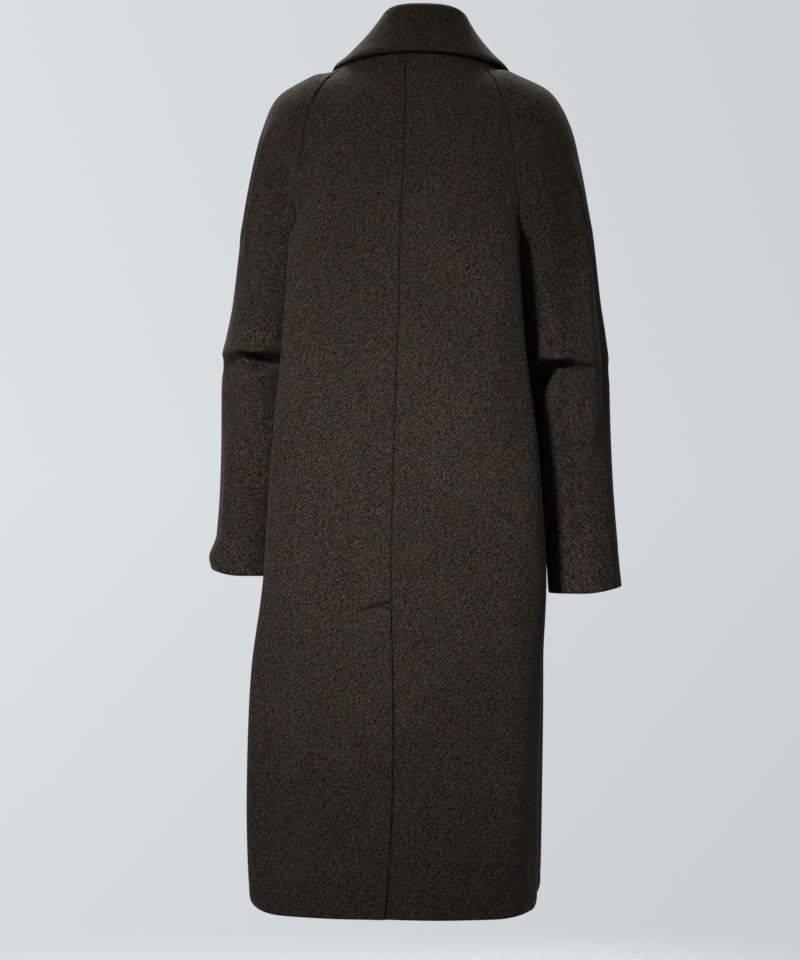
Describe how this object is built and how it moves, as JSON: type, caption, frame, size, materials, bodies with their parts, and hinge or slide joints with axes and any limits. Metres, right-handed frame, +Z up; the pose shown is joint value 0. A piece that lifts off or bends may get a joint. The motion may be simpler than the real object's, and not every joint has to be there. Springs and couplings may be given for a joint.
{
  "type": "wrap coat",
  "caption": "Long heavy wool wrap coat, worn shape seen from behind: raglan sleeves, wide turned-down collar, centre-back seam and vent, front wrapped left over right.",
  "frame": {"origin": "the nape: the outer end of the neck seam at the centre of the back, where the coat hangs on its wearer", "axes": "+Z up along the back, +X towards the wearer's left, the front faces -Y and the back faces +Y"},
  "size_m": [0.5938, 0.328, 1.2777],
  "materials": {
    "back": "brushed heavy wool twill, matt",
    "underlap": "brushed heavy wool twill, matt",
    "front": "brushed heavy wool twill, matt",
    "sleeve": "brushed heavy wool twill, matt",
    "collar": "brushed heavy wool twill, matt",
    "lapel": "brushed heavy wool twill, matt"
  },
  "bodies": {
    "root": {"back_left": "back", "back_right": "back", "back_vent_underlap": "underlap", "front_left": "front", "front_right": "front", "sleeve_left": "sleeve", "sleeve_right": "sleeve", "collar": "collar", "lapel_left": "lapel", "lapel_right": "lapel"}
  },
  "joints": []
}
